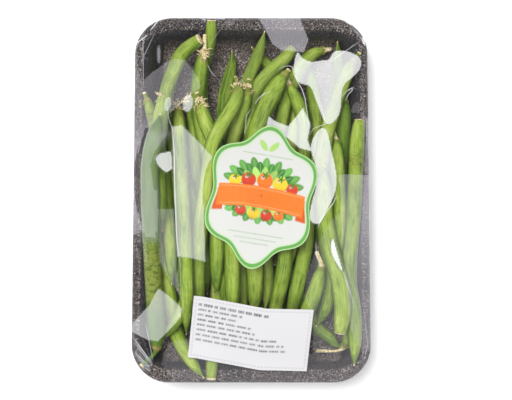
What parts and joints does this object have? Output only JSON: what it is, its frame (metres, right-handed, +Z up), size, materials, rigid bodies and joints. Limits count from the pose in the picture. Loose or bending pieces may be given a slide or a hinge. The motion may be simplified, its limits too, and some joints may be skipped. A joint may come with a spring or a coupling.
{
  "type": "green bean tray pack",
  "caption": "Bundle of whole green beans heaped lengthwise in a black foam tray under clear stretch film, with a waved badge sticker and a white price label",
  "frame": {"origin": "on the surface that the pack lies on, under the middle of the tray", "axes": "+X across the tray, +Y along the tray towards the end where the beans fan out, +Z up"},
  "size_m": [0.123, 0.19, 0.048],
  "materials": {
    "foam": "matt speckled black foam",
    "pod": "satin green skin",
    "film": "clear glossy film",
    "badge": "satin printed sticker",
    "paper": "matt paper"
  },
  "bodies": {
    "root": {"foam_tray": "foam", "bean_01": "pod", "bean_02": "pod", "bean_03": "pod", "bean_04": "pod", "bean_05": "pod", "bean_06": "pod", "bean_07": "pod", "bean_08": "pod", "bean_09": "pod", "bean_10": "pod", "bean_11": "pod", "bean_12": "pod", "bean_13": "pod", "bean_14": "pod", "bean_15": "pod", "bean_16": "pod", "bean_17": "pod", "bean_18": "pod", "bean_19": "pod", "bean_20": "pod", "bean_21": "pod", "bean_22": "pod", "bean_23": "pod", "bean_24": "pod", "bean_25": "pod", "bean_26": "pod", "bean_27": "pod", "bean_28": "pod", "bean_29": "pod", "bean_30": "pod", "bean_31": "pod", "bean_32": "pod", "bean_33": "pod", "bean_34": "pod", "bean_35": "pod", "bean_36": "pod", "bean_37": "pod", "bean_38": "pod", "bean_39": "pod", "bean_40": "pod", "bean_41": "pod", "bean_42": "pod", "stretch_film": "film", "badge_label": "badge", "price_label": "paper"}
  },
  "joints": []
}
